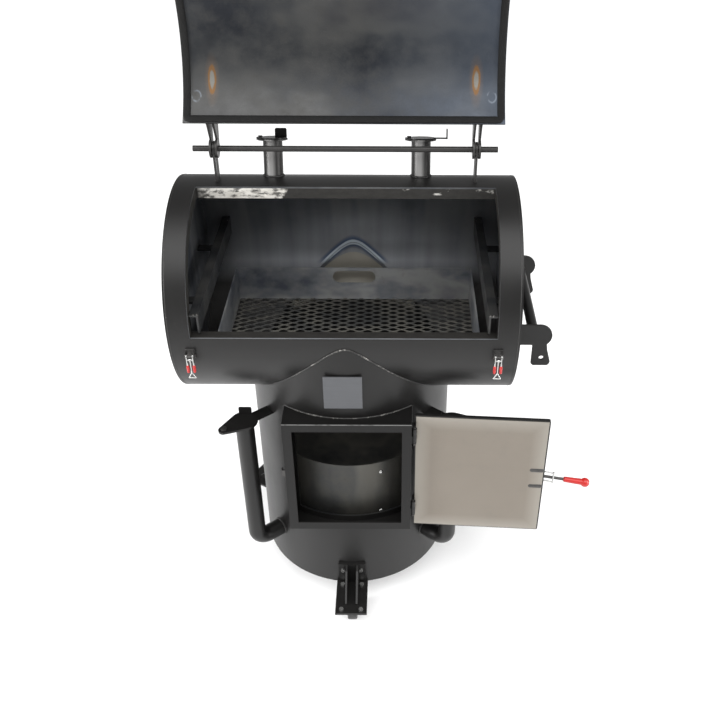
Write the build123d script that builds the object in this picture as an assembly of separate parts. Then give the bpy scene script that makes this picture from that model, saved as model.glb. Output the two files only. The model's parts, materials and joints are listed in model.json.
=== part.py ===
from build123d import *
import os
from math import acos, atan2, cos, degrees, pi, radians, sin, sqrt

# Drum-and-barrel charcoal smoker, in millimetres. +Z is up, the cook mouth and the fire door face -Y.
# The origin is on the drum's axis, at the underside of its flat bottom plate.

# ---- driving dimensions -------------------------------------------------------------------
PIPE_R = 305.0            # cook barrel, outside
DRUM_R = 303.0            # fire drum, outside
WALL = 6.0                # pipe and plate thickness
AXIS_Z = 964.0            # height of the barrel's axis
BARREL_HALF = 471.0       # half the barrel's length, over its end caps
MOUTH_HALF = 410.0        # half the width of the cook mouth
MOUTH_TOP_Y = -13.0       # top edge of the mouth, just in front of the crown
LIP_DEPTH = 30.0

LID_HALF = 424.5
LID_IN_R = 311.0
LID_OUT_R = 315.0
LID_OPEN_DEG = 138.0
LID_FIRST_DEG = 0.0       # lid's back edge, measured from the crown towards the front
LID_LAST_DEG = 93.0
GASKET_WIDTH = 20.0

ROD_R = 8.0
ROD_Y = 33.0
ROD_Z = AXIS_Z + 394.0
ROD_HALF = 413.0
STRAP_X = 355.0
PIVOT_FIT = 0.06          # radial clearance of every pivot hole on its pin

STACK_X = 207.0
STACK_LEAN_DEG = 16.4     # each stack stands square to the barrel, this far behind its crown
STACK_R = 27.0
STACK_REACH = 407.0       # from the barrel's axis to the top of the stack's flange

FRAME_HALF = 184.0
FRAME_BOTTOM = 275.0
FRAME_TOP = 690.0
FRAME_FRONT = -331.0
FRAME_BAND = 27.0         # width of the flat band round the fire door opening
DOOR_HALF = 192.0
DOOR_BOTTOM = 269.0
DOOR_TOP = 702.0
DOOR_THICK = 12.0
DOOR_GAP = 2.0            # between the frame's band and the door's liner
DOOR_OPEN_DEG = 176.4
HINGE_X = 192.0
HINGE_Y = -318.0
HINGE_R = 7.0
HINGE_PIN_R = 4.0

INTAKE_RADIUS = 391.0     # from the drum's axis to the pipe's axis
INTAKE_DEG = 51.0         # round from the front
INTAKE_R = 27.0
INTAKE_LOW = 142.0
INTAKE_TOP = 630.0
ELBOW_R = 42.0
PLATE = 3.0
DAMPER_GAP = 0.4

TRAY_X = 4.0              # the loose tray lies this far right of the middle
TRAY_HALF_X = 374.0
TRAY_HALF_Y = 222.0
TRAY_HEIGHT = 115.0
TRAY_BOTTOM = AXIS_Z - 199.5
TRAY_SHEET = 3.0

BASKET_R = 279.0
BASKET_BOTTOM = 246.0
BASKET_HEIGHT = 242.0
GRATE_THICK = 10.0
GRATE_BOTTOM = BASKET_BOTTOM - 0.5 - GRATE_THICK

WHEEL_R = 50.0
WHEEL_Z = -73.0
CASTER_RADIUS = 371.0
CASTER_TRAIL = 38.0
CASTER_TURN = {"front": 0.0, "rear_left": 60.0, "rear_right": 200.0}
CASTER_PLACE = {"front": 0.0, "rear_left": -120.0, "rear_right": 120.0}

os.makedirs("parts", exist_ok=True)


# ---- helpers ------------------------------------------------------------------------------
def block(x0, x1, y0, y1, z0, z1):
    """Box between two corners."""
    return Pos((x0 + x1) / 2, (y0 + y1) / 2, (z0 + z1) / 2) * Box(abs(x1 - x0), abs(y1 - y0), abs(z1 - z0))


def rod_x(r, x0, x1, y, z):
    """Round bar along X."""
    return Pos((x0 + x1) / 2, y, z) * Rot(0, 90, 0) * Cylinder(r, x1 - x0)


def rod_y(r, y0, y1, x, z):
    """Round bar along Y."""
    return Pos(x, (y0 + y1) / 2, z) * Rot(90, 0, 0) * Cylinder(r, y1 - y0)


def rod_z(r, z0, z1, x=0.0, y=0.0):
    """Round bar along Z."""
    return Pos(x, y, (z0 + z1) / 2) * Cylinder(r, z1 - z0)


def tube_z(r, t, z0, z1, x=0.0, y=0.0):
    return rod_z(r, z0, z1, x, y) - rod_z(r - t, z0 - 1, z1 + 1, x, y)


def bar(a, b, r):
    """Round bar between two points."""
    a, b = Vector(*a), Vector(*b)
    plane = Plane(origin=(a + b) / 2, z_dir=b - a)
    return plane * Cylinder(r, (b - a).length)


def profile_x(points, x0, x1):
    """Closed outline given as (y, z) points, carried along X from x0 to x1."""
    face = make_face(Polyline(*[(x0, y, z) for y, z in points], close=True))
    return extrude(face, amount=x1 - x0, dir=(1, 0, 0))


def leaf(big_r, tip_r, reach):
    """Flat outline round a big circle at the origin and a small one at +X, with straight sides."""
    a = acos((big_r - tip_r) / reach)
    side = [(big_r * cos(a), big_r * sin(a)), (reach + tip_r * cos(a), tip_r * sin(a))]
    corners = [side[0], side[1], (side[1][0], -side[1][1]), (side[0][0], -side[0][1])]
    body = make_face(Polyline(*corners, close=True))
    return Sketch() + Circle(big_r) + Pos(reach, 0) * Circle(tip_r) + body


def ring_x(r_in, r_out, x0, x1, first, last):
    """Curved band round the barrel's axis, from angle first to last, measured from the crown to the front."""
    outer = rod_x(r_out, x0, x1, 0, AXIS_Z)
    inner = rod_x(r_in, x0 - 1, x1 + 1, 0, AXIS_Z)
    steps = 6
    reach = 2 * r_out
    angles = [radians(first + (last - first) * i / steps) for i in range(steps + 1)]
    fan = [(0.0, AXIS_Z)] + [(-reach * sin(a), AXIS_Z + reach * cos(a)) for a in angles]
    return (outer - inner) & profile_x(fan, x0, x1)


def on_barrel(phi, r):
    """(y, z) on a circle of radius r round the barrel's axis, phi degrees from the crown to the front."""
    return -r * sin(radians(phi)), AXIS_Z + r * cos(radians(phi))


def turned(shape, axis, deg):
    return shape.rotate(axis, deg)


def solids_of(item):
    if isinstance(item, (list, tuple)):
        return [s for i in item for s in solids_of(i)]
    return list(item.solids())


def node(name, *items):
    """Writes one node, as one solid or a group of separate solids."""
    solids = solids_of(items)
    shape = solids[0] if len(solids) == 1 else Compound(children=solids)
    shape.label = name
    export_step(shape, f"parts/{name}.step")


ROD_AXIS = Axis((0, ROD_Y, ROD_Z), (1, 0, 0))
DOOR_AXIS = Axis((HINGE_X, HINGE_Y, 0), (0, 0, 1))
DRUM_AXIS = Axis((0, 0, 0), (0, 0, 1))


def opened_lid(shape):
    """From the closed lid's place to its open rest."""
    return turned(shape, ROD_AXIS, -LID_OPEN_DEG)


def opened_door(shape):
    """From the closed fire door's place to its open rest."""
    return turned(shape, DOOR_AXIS, DOOR_OPEN_DEG)


# ---- cook barrel --------------------------------------------------------------------------
def make_barrel():
    half = BARREL_HALF - WALL
    shell = rod_x(PIPE_R, -half, half, 0, AXIS_Z) - rod_x(PIPE_R - WALL, -half - 1, half + 1, 0, AXIS_Z)
    shell -= block(-MOUTH_HALF, MOUTH_HALF, -2 * PIPE_R, MOUTH_TOP_Y, AXIS_Z, AXIS_Z + 2 * PIPE_R)
    shell -= rod_z(DRUM_R - WALL, AXIS_Z - 2 * PIPE_R, AXIS_Z)
    for side in (-1, 1):
        shell -= leaned(rod_z(STACK_R - 3, AXIS_Z, AXIS_Z + 2 * PIPE_R, side * STACK_X, 0))
    node("barrel", shell)
    caps = [rod_x(PIPE_R, x, x + WALL, 0, AXIS_Z) for x in (-BARREL_HALF, half)]
    node("end_caps", caps)


def make_mouth_lip():
    """Turned-in strips round the mouth: one along its top, one along its sill, one curved at each side."""
    inner = PIPE_R - WALL
    low = inner - LIP_DEPTH
    reach = MOUTH_HALF + WALL
    # the strips sit just inside the pipe wall, in line with the mouth's edges
    top = block(-reach, reach, MOUTH_TOP_Y, MOUTH_TOP_Y + WALL, AXIS_Z + low, AXIS_Z + PIPE_R)
    sill = block(-reach, reach, -PIPE_R, -low, AXIS_Z - WALL, AXIS_Z)
    lip = top + sill
    for x0 in (-reach, MOUTH_HALF):
        lip += ring_x(low, inner, x0, x0 + WALL, 0.0, 90.0)
    node("mouth_lip", lip & rod_x(inner, -BARREL_HALF, BARREL_HALF, 0, AXIS_Z))


# ---- fire drum ----------------------------------------------------------------------------
def intake_centre(side):
    a = radians(INTAKE_DEG)
    return side * INTAKE_RADIUS * sin(a), -INTAKE_RADIUS * cos(a)


def intake_placed(shape, side):
    """From a pipe standing on +X of the drum's axis to its real place on that side."""
    x, y = intake_centre(side)
    return turned(shape, DRUM_AXIS, degrees(atan2(y, x)))


def make_drum():
    drum = tube_z(DRUM_R, WALL, 0, AXIS_Z)
    drum -= rod_x(PIPE_R, -BARREL_HALF, BARREL_HALF, 0, AXIS_Z)
    band = FRAME_BAND
    drum -= block(
        -FRAME_HALF + band, FRAME_HALF - band, -2 * DRUM_R, 0, FRAME_BOTTOM + band, FRAME_TOP - band
    )
    for side in (-1, 1):
        air = Pos(DRUM_R, 0, INTAKE_LOW) * Rot(0, 90, 0) * Cylinder(INTAKE_R - 3, 4 * WALL)
        drum -= intake_placed(air, side)
    inner = DRUM_R - WALL
    lug_top = GRATE_BOTTOM
    lug = block(inner - 45, inner + 3, -12, 12, lug_top - 6, lug_top)
    for a in (30, 150, 270):
        drum += turned(lug, DRUM_AXIS, a)
    node("drum", drum)
    node("drum_floor", rod_z(DRUM_R - WALL, 0, WALL))


def make_intake_pipes():
    for side, word in ((-1, "left"), (1, "right")):
        bend_z = INTAKE_LOW + ELBOW_R
        ring = Sketch() + Circle(INTAKE_R) - Circle(INTAKE_R - 3)
        riser = extrude(Pos(INTAKE_RADIUS, 0, bend_z) * ring, INTAKE_TOP - bend_z)
        axis = Axis((INTAKE_RADIUS - ELBOW_R, 0, bend_z), (0, 1, 0))
        elbow = revolve(Pos(INTAKE_RADIUS, 0, bend_z) * ring, axis, 90)
        if elbow.center().Z > bend_z:
            elbow = revolve(Pos(INTAKE_RADIUS, 0, bend_z) * ring, axis, -90)
        stub_x = INTAKE_RADIUS - ELBOW_R
        stub = Pos((stub_x + DRUM_R - WALL) / 2, 0, INTAKE_LOW) * Rot(0, 90, 0) * (
            Cylinder(INTAKE_R, stub_x - DRUM_R + WALL) - Cylinder(INTAKE_R - 3, stub_x - DRUM_R + WALL + 2)
        )
        pipe = riser + elbow + stub - rod_z(DRUM_R, 0, AXIS_Z)
        node(f"intake_pipe_{word}", intake_placed(pipe, side))


LEAF_BIG = 40.0
LEAF_TIP = 16.0
LEAF_REACH = 68.0         # from the pipe's axis to the damper's pivot bolt
BOLT_R = 5.0


def leaf_turn(side):
    """Direction of a leaf's tip: straight out on the left, square to the side on the right."""
    x, y = intake_centre(side)
    return degrees(atan2(y, x)) if side < 0 else 0.0


def leaf_placed(shape, side):
    """From a leaf drawn round the origin with its tip at +X to its pipe."""
    x, y = intake_centre(side)
    return Pos(x, y, 0) * Rot(0, 0, leaf_turn(side)) * shape


def make_intake_dampers():
    bolts, flanges = [], []
    for side, word in ((-1, "left"), (1, "right")):
        # the fixed leaf, with the arm that ties it to the drum
        fixed = extrude(Pos(0, 0, INTAKE_TOP) * leaf(LEAF_BIG, LEAF_TIP, LEAF_REACH), PLATE)
        fixed = leaf_placed(fixed, side)
        arm = block(DRUM_R - 12, INTAKE_RADIUS, -20, 20, INTAKE_TOP, INTAKE_TOP + PLATE)
        fixed += intake_placed(arm, side)
        x, y = intake_centre(side)
        fixed -= rod_z(INTAKE_R - 3, INTAKE_TOP - 1, INTAKE_TOP + 10, x, y)
        fixed -= rod_z(DRUM_R, 0, AXIS_Z)
        flanges.append(fixed)
        # the swinging leaf
        base = INTAKE_TOP + PLATE + DAMPER_GAP
        plate = extrude(Pos(0, 0, base) * leaf(LEAF_BIG, LEAF_TIP, LEAF_REACH), PLATE)
        plate -= rod_z(BOLT_R + PIVOT_FIT, base - 1, base + 10, LEAF_REACH, 0)
        plate = leaf_placed(plate, side)
        # a finger tab: at the back on the left, and next to the drum on the right
        edge = LEAF_BIG - 12
        if side < 0:
            tab = block(x - 19, x + 19, y + edge, y + edge + PLATE, base, base + 28)
            tab = fillet([e for e in tab.edges().filter_by(Axis.Y) if e.center().Z > base + 20], 5)
        else:
            tab = block(x - edge - PLATE, x - edge, y - 19, y + 19, base, base + 28)
            tab = fillet([e for e in tab.edges().filter_by(Axis.X) if e.center().Z > base + 20], 5)
        node(f"intake_damper_{word}", plate + tab)
        shank = rod_z(BOLT_R, INTAKE_TOP + PLATE, base + PLATE + 0.5, LEAF_REACH, 0)
        head = rod_z(9, base + PLATE + 0.5, base + PLATE + 6, LEAF_REACH, 0)
        bolts.append(leaf_placed(shank + head, side))
    node("intake_flanges", flanges)
    return bolts


# ---- exhaust stacks -----------------------------------------------------------------------
STACK_FLANGE_R = 42.0
STACK_DISC_R = 38.0
STACK_PIVOT = 34.0        # from the stack's axis to the damper's pivot bolt
STACK_BOLT_R = 4.0
STACK_TAB = 27.0          # height of each damper's finger tab


def leaned(shape):
    """From a stack drawn straight up from the barrel's axis to its place behind the crown."""
    return turned(shape, Axis((0, 0, AXIS_Z), (1, 0, 0)), -STACK_LEAN_DEG)


def make_stacks():
    bolts = []
    top = AXIS_Z + STACK_REACH
    for side, word in ((-1, "left"), (1, "right")):
        x = side * STACK_X
        pivot_x = x - STACK_PIVOT
        tube = tube_z(STACK_R, 3, AXIS_Z + 200, top, x, 0)
        tube -= rod_x(PIPE_R, -BARREL_HALF, BARREL_HALF, 0, AXIS_Z)
        flange = tube_z(STACK_FLANGE_R, STACK_FLANGE_R - STACK_R + 3, top - 4, top, x, 0)
        # a small ear under the pivot bolt
        ear = rod_z(11, top - 4, top, pivot_x, 0) - rod_z(STACK_R - 1, top - 10, top + 10, x, 0)
        node(f"exhaust_stack_{word}", leaned(tube + flange + ear))
        base = top + DAMPER_GAP
        disc = rod_z(STACK_DISC_R, base, base + PLATE, x, 0) + rod_z(11, base, base + PLATE, pivot_x, 0)
        if side < 0:
            # a tab across the back of the disc
            tab = block(x + 6, x + 39, 8, 8 + PLATE, base, base + STACK_TAB)
            tab = fillet([e for e in tab.edges().filter_by(Axis.Y) if e.center().Z > base + 20], 5)
            arm = block(x, x + 39, -4, 8 + PLATE, base, base + PLATE)
        else:
            # an arm out to the side with a tab across its end
            arm = block(x, x + 73, -8, 8, base, base + PLATE)
            tab = block(x + 70, x + 73, -13, 13, base, base + STACK_TAB)
            tab = fillet([e for e in tab.edges().filter_by(Axis.X) if e.center().Z > base + 20], 5)
        damper = disc + arm + tab
        damper -= rod_z(STACK_BOLT_R + PIVOT_FIT, base - 1, base + 10, pivot_x, 0)
        node(f"stack_damper_{word}", leaned(damper))
        shank = rod_z(STACK_BOLT_R, top, base + PLATE + 0.5, pivot_x, 0)
        head = rod_z(6, base + PLATE + 0.5, base + PLATE + 4, pivot_x, 0)
        bolts.append(leaned(shank + head))
    return bolts


# ---- hinge rod, straps and lid ------------------------------------------------------------
def make_rod():
    node("hinge_rod", rod_x(ROD_R, -ROD_HALF, ROD_HALF, ROD_Y, ROD_Z))
    straps = []
    for side in (-1, 1):
        x0 = side * STRAP_X - 3
        foot = block(x0, x0 + 6, ROD_Y - 20, ROD_Y + 20, AXIS_Z + 250, ROD_Z)
        foot = foot - rod_x(PIPE_R, -BARREL_HALF, BARREL_HALF, 0, AXIS_Z)
        strap = foot + rod_x(20, x0, x0 + 6, ROD_Y, ROD_Z)
        strap -= block(x0 - 1, x0 + 7, ROD_Y - 4, ROD_Y + 4, AXIS_Z + 325, AXIS_Z + 365)
        straps.append(strap - rod_x(ROD_R, -ROD_HALF, ROD_HALF, ROD_Y, ROD_Z))
    node("rod_straps", straps)


EAR_OFFSET = 8.0         # from a strap's middle to the middle of each lid ear
LID_HANDLE_PHI = 74.0


def make_lid():
    shell = ring_x(LID_IN_R, LID_OUT_R, -LID_HALF, LID_HALF, LID_FIRST_DEG, LID_LAST_DEG)
    node("lid_shell", opened_lid(shell))
    # seal strip round the inside edge
    band_deg = degrees(GASKET_WIDTH / LID_IN_R)
    r_seal = PIPE_R + 0.5
    seal = ring_x(r_seal, LID_IN_R, -LID_HALF, LID_HALF, LID_FIRST_DEG, LID_LAST_DEG)
    seal -= ring_x(
        r_seal - 5, LID_IN_R + 5, -LID_HALF + GASKET_WIDTH, LID_HALF - GASKET_WIDTH,
        LID_FIRST_DEG + band_deg, LID_LAST_DEG - band_deg,
    )
    node("lid_gasket", opened_lid(seal))
    ears = []
    ear_outline = [
        (ROD_Y + 20, ROD_Z - 12), (ROD_Y + 18, ROD_Z + 14), (ROD_Y - 6, ROD_Z + 22),
        (-118, AXIS_Z + 312), (-118, AXIS_Z + 270), (-6, AXIS_Z + 290), (-2, AXIS_Z + 330), (ROD_Y - 18, ROD_Z - 14),
    ]
    for side in (-1, 1):
        for off in (-EAR_OFFSET, EAR_OFFSET):
            x0 = side * STRAP_X + off - 3
            ear = profile_x(ear_outline, x0, x0 + 6) + rod_x(25, x0, x0 + 6, ROD_Y, ROD_Z)
            ear -= rod_x(LID_OUT_R, -BARREL_HALF, BARREL_HALF, 0, AXIS_Z)
            ear -= rod_x(ROD_R + PIVOT_FIT, x0 - 1, x0 + 7, ROD_Y, ROD_Z)
            ear -= rod_x(5, x0 - 1, x0 + 7, -30, AXIS_Z + 345)
            ears.append(ear)
    node("lid_ears", [opened_lid(e) for e in ears])
    # handle across the front of the lid, on two posts
    y_bar, z_bar = on_barrel(LID_HANDLE_PHI, LID_OUT_R + 55)
    grip = rod_x(12, -215, 215, y_bar, z_bar)
    for x in (-180, 180):
        y0, z0 = on_barrel(LID_HANDLE_PHI, LID_OUT_R - 3)
        post = bar((x, y0, z0), (x, y_bar, z_bar), 7)
        grip += post - rod_x(LID_OUT_R, -BARREL_HALF, BARREL_HALF, 0, AXIS_Z)
    node("lid_handle", opened_lid(grip))
    # one keeper for each latch, near the lid's front corners
    keepers = []
    for side in (-1, 1):
        x = side * LATCH_X
        y0, z0 = on_barrel(90, LID_OUT_R)
        plate = Pos(x, y0, z0) * block(-11, 11, -3, 1, -13, 13)
        hook = Pos(x, y0, z0) * (block(-5, 5, -12, -3, 2, 5) + block(-5, 5, -12, -9, 2, 12))
        keepers.append((plate + hook) - rod_x(LID_OUT_R, -BARREL_HALF, BARREL_HALF, 0, AXIS_Z))
    node("lid_keepers", [opened_lid(k) for k in keepers])


# ---- lid latches --------------------------------------------------------------------------
LATCH_X = 414.0
LATCH_PIN_Y = -318.0
LATCH_PIN_Z = AXIS_Z - 48.0
LATCH_PIN_R = 2.5
LATCH_ARM = 8.5           # from the latch's middle to each handle arm
LATCH_HALF = 12.4         # half the width of a latch base
LATCH_GRIP = 28.0
HOOK_PIN_DROP = 12.0
HOOK_PIN_R = 2.2
HOOK_STEM = 42.0
HOOK_FORK = 17.0
HOOK_HALF = 9.5          # half the width of the hook's loop


def make_latches():
    bases = []
    z, y = LATCH_PIN_Z, LATCH_PIN_Y
    cheek = [(-290, z + 12), (y, z + 6), (y - 5, z), (y, z - 6), (-290, z - 11)]
    for side, word in ((-1, "left"), (1, "right")):
        x = side * LATCH_X
        plate = ring_x(PIPE_R, PIPE_R + 2, x - LATCH_HALF, x + LATCH_HALF, 96, 102.5)
        cheeks = profile_x(cheek, x - LATCH_HALF, x - LATCH_HALF + 1.6)
        cheeks += profile_x(cheek, x + LATCH_HALF - 1.6, x + LATCH_HALF)
        base = plate + (cheeks - rod_x(PIPE_R, -BARREL_HALF, BARREL_HALF, 0, AXIS_Z))
        bases.append(base + rod_x(LATCH_PIN_R, x - LATCH_HALF - 1.2, x + LATCH_HALF + 1.2, y, z))
        # handle: two arms on the pin, tied by the hook's own pin lower down
        low = z - 26 - LATCH_GRIP
        handle = rod_x(HOOK_PIN_R, x - LATCH_ARM, x + LATCH_ARM, y, z - HOOK_PIN_DROP)
        grips = []
        for s in (-1, 1):
            cx = x + s * LATCH_ARM
            arm = block(cx - 1.2, cx + 1.2, y - 4, y + 4, low + LATCH_GRIP + 4, z)
            arm += rod_x(5, cx - 1.2, cx + 1.2, y, z)
            arm += rod_z(HOOK_PIN_R, low + 4, low + LATCH_GRIP + 5, cx, y)
            handle += arm - rod_x(LATCH_PIN_R + PIVOT_FIT, cx - 3, cx + 3, y, z)
            grips.append(rod_z(4, low, low + LATCH_GRIP, cx, y) - rod_z(HOOK_PIN_R, low + 4, z, cx, y))
        node(f"latch_handle_{word}", handle)
        node(f"latch_grips_{word}", grips)
        # draw hook: an eye on the handle's cross pin, a stem and a narrow loop
        eye_z = z - HOOK_PIN_DROP
        fork_z = eye_z - HOOK_STEM
        hook = rod_x(4.6, x - 2.4, x + 2.4, y, eye_z) - rod_x(HOOK_PIN_R + PIVOT_FIT, x - 4, x + 4, y, eye_z)
        hook += bar((x, y, eye_z - 3.4), (x, y, fork_z), 2.0)
        for s in (-1, 1):
            hook += bar((x, y, fork_z + 1), (x + s * HOOK_HALF, y, fork_z - HOOK_FORK), 1.6)
        hook += bar((x - HOOK_HALF, y, fork_z - HOOK_FORK), (x + HOOK_HALF, y, fork_z - HOOK_FORK), 1.6)
        node(f"latch_hook_{word}", hook)
    node("latch_bases", bases)


# ---- fire door frame and door -------------------------------------------------------------
HINGE_Z = (FRAME_BOTTOM + 55.0, FRAME_TOP - 75.0)
KNUCKLE = 26.0


def make_door_frame():
    outer = block(-FRAME_HALF, FRAME_HALF, FRAME_FRONT, 0, FRAME_BOTTOM, FRAME_TOP)
    wall = WALL
    hollow = block(
        -FRAME_HALF + wall, FRAME_HALF - wall, FRAME_FRONT + wall, 10, FRAME_BOTTOM + wall, FRAME_TOP - wall
    )
    band = FRAME_BAND
    way = block(
        -FRAME_HALF + band, FRAME_HALF - band, FRAME_FRONT - 10, 10, FRAME_BOTTOM + band, FRAME_TOP - band
    )
    frame = outer - hollow - way - rod_z(DRUM_R, 0, AXIS_Z)
    node("door_frame", frame)
    knuckles, pins = [], []
    for z in HINGE_Z:
        k = rod_z(HINGE_R, z, z + KNUCKLE, HINGE_X, HINGE_Y)
        k += block(FRAME_HALF, HINGE_X, HINGE_Y - 5, HINGE_Y + 5, z, z + KNUCKLE)
        k -= rod_z(HINGE_PIN_R, z - 1, z + KNUCKLE + 1, HINGE_X, HINGE_Y)
        knuckles.append(k)
        pin = rod_z(HINGE_PIN_R, z - 3, z + 2 * KNUCKLE + 4, HINGE_X, HINGE_Y)
        pins.append(pin + rod_z(HINGE_R - 1, z - 6, z - 3, HINGE_X, HINGE_Y))
    node("frame_knuckles", knuckles)
    node("hinge_pins", pins)
    # catch for the door clamp: a bent hook on the frame's left wall
    x = -FRAME_HALF
    catch = block(x - 3, x, -318, -292, CLAMP_Z - 20, CLAMP_Z + 20)
    catch += block(x - 16, x, -300, -296, CLAMP_Z - 12, CLAMP_Z + 12)
    catch += block(x - 16, x - 12, -300, -286, CLAMP_Z - 12, CLAMP_Z + 12)
    node("clamp_catch", catch)


CLAMP_Z = 476.0
CLAMP_PIVOT_X = -159.0
CLAMP_HOOK_X = 17.0
CLAMP_REACH = 95.0        # from the clamp's pivot to where its grip starts
CLAMP_GRIP = 60.0
CLAMP_DROOP_DEG = 8.0
RIVET_X = -169.0
BEAD_THICK = 1.5


def make_door():
    face = FRAME_FRONT - DOOR_GAP
    liner = block(-DOOR_HALF + 4, DOOR_HALF - 4, face - 2, face, DOOR_BOTTOM + 4, DOOR_TOP - 4)
    node("door_liner", opened_door(liner))
    back = face - DOOR_THICK
    skin = block(-DOOR_HALF, DOOR_HALF, back, face - 2, DOOR_BOTTOM, DOOR_TOP)
    skin = fillet(skin.edges().filter_by(Axis.Y), 6)
    node("door_skin", opened_door(skin))
    knuckles = []
    for z in HINGE_Z:
        z0 = z + KNUCKLE + 0.6
        k = rod_z(HINGE_R, z0, z0 + KNUCKLE, HINGE_X, HINGE_Y)
        k += block(HINGE_X - 4, HINGE_X + 4, back, HINGE_Y, z0, z0 + KNUCKLE)
        k -= block(-DOOR_HALF, DOOR_HALF, back, face, DOOR_BOTTOM, DOOR_TOP)
        k -= rod_z(HINGE_PIN_R + PIVOT_FIT, z0 - 1, z0 + KNUCKLE + 1, HINGE_X, HINGE_Y)
        knuckles.append(k)
    node("door_knuckles", [opened_door(k) for k in knuckles])
    # clamp base: a plate with two ears and a pin
    x = CLAMP_PIVOT_X
    base = block(x - 26, x + 40, back - 3, back, CLAMP_Z - 22, CLAMP_Z + 22)
    for z in (CLAMP_Z - 14, CLAMP_Z + 11):
        base += block(x - 9, x + 30, back - 20, back - 3, z, z + 3)
    base += rod_z(4, CLAMP_Z - 16, CLAMP_Z + 16, x, back - 13)
    node("clamp_base", opened_door(base))
    beads = []
    for z in (CLAMP_Z - 23, CLAMP_Z + 39):
        bead = block(RIVET_X - 21, RIVET_X + 21, face, face + BEAD_THICK, z - 6.5, z + 6.5)
        bead = fillet(bead.edges().filter_by(Axis.Y), 6)
        beads.append(bead)
    node("clamp_beads", [opened_door(b) for b in beads])


def make_clamp():
    back = FRAME_FRONT - DOOR_GAP - DOOR_THICK
    x, y = CLAMP_PIVOT_X, back - 13
    droop = radians(CLAMP_DROOP_DEG)

    def along(reach):
        return x - reach * cos(droop), y, CLAMP_Z - reach * sin(droop)

    tip = along(CLAMP_REACH)
    core = bar(tip, along(CLAMP_REACH + CLAMP_GRIP), 4.5)
    arm = rod_z(8, CLAMP_Z - 10.5, CLAMP_Z + 10.5, x, y)
    for z in (CLAMP_Z - 10.5, CLAMP_Z + 7.5):
        arm += block(x - 30, x, y - 6, y + 6, z, z + 3)
    arm += block(x - 34, x - 24, y - 6, y + 6, CLAMP_Z - 10.5, CLAMP_Z + 10.5)
    arm += bar(along(28), tip, 4.5) + core
    arm -= rod_z(4 + PIVOT_FIT, CLAMP_Z - 20, CLAMP_Z + 20, x, y)
    arm -= rod_z(2.5 + PIVOT_FIT, CLAMP_Z - 20, CLAMP_Z + 20, x - CLAMP_HOOK_X, y)
    node("clamp_arm", opened_door(arm))
    grip_plane = Plane(origin=tip, z_dir=Vector(*along(CLAMP_REACH + 10)) - Vector(*tip))
    grip = loft([grip_plane * Circle(8.5), grip_plane * Pos(0, 0, CLAMP_GRIP) * Circle(10.5)])
    grip += grip_plane * Pos(0, 0, CLAMP_GRIP + 6) * Sphere(14.5)
    grip = solids_of(grip - core)[0]
    node("clamp_grip", opened_door(grip))
    # draw loop: a pin through the arm's fork and a bent wire that reaches past the door's edge
    px, far_x, far_y, spread = x - CLAMP_HOOK_X, x - 62, y + 10, 17.5
    loop = rod_z(2.5, CLAMP_Z - spread - 3, CLAMP_Z + spread + 3, px, y)
    loop += rod_z(2.5, CLAMP_Z - spread - 3, CLAMP_Z + spread + 3, far_x, far_y)
    for z in (CLAMP_Z - spread, CLAMP_Z + spread):
        loop += bar((px, y, z), (far_x, far_y, z), 2.1)
    node("clamp_hook", opened_door(loop))


# ---- tray, basket, grate ------------------------------------------------------------------
def make_tray():
    hx, hy, t = TRAY_HALF_X, TRAY_HALF_Y, TRAY_SHEET
    z0, z1 = TRAY_BOTTOM, TRAY_BOTTOM + TRAY_HEIGHT
    frame = block(-hx, hx, -hy, hy, z0, z1) - block(-hx + t, hx - t, -hy + t, hy - t, z0 - 1, z1 + 1)
    slot_z, slot_r, slot_half = z1 - 33, 22.0, 46.0
    slot = block(-slot_half, slot_half, hy - 10, hy + 10, slot_z - slot_r, slot_z + slot_r)
    for s in (-1, 1):
        slot += rod_y(slot_r, hy - 10, hy + 10, s * slot_half, slot_z)
    node("tray_frame", Pos(TRAY_X, 0, 0) * (frame - slot))
    node("tray_mesh", Pos(TRAY_X, 0, 0) * block(-hx + t, hx - t, -hy + t, hy - t, z0 + 1, z0 + 4))


def make_basket():
    z0, z1 = BASKET_BOTTOM, BASKET_BOTTOM + BASKET_HEIGHT
    shell = tube_z(BASKET_R, 3, z0, z1) + rod_z(BASKET_R - 2, z0, z0 + 3)
    # lap strip over the seam, a little right of the door's middle
    lap = tube_z(BASKET_R - 3, 2.5, z0 + 3, z1)
    seam = turned(lap & block(-22, 22, BASKET_R - 20, BASKET_R + 5, z0, z1), DRUM_AXIS, 200)
    basket = shell + seam
    for z in (z0 + 40, z1 - 40):
        rivet = rod_y(6, BASKET_R - 8.5, BASKET_R - 4, 0, z)
        basket += turned(rivet, DRUM_AXIS, 200)
    node("charcoal_basket", basket)
    # grate: a rim of flat bar and cross bars, on three lugs welded to the drum
    low, top = GRATE_BOTTOM, GRATE_BOTTOM + GRATE_THICK
    grate = tube_z(270, 12, low, top)
    for i in range(-7, 8):
        y = i * 34.0
        half = sqrt(262.0 ** 2 - y * y)
        grate += block(-half, half, y - 4, y + 4, low, top)
    node("fire_grate", grate)


# ---- rails, side handle, badge, caster brackets and casters -------------------------------
RAIL_OUT = 409.0
RAIL_DEPTH = 24.0
RAIL_TALL = 56.0
RAIL_THICK = 5.0
RAIL_TOP = AXIS_Z + 61.0


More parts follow.
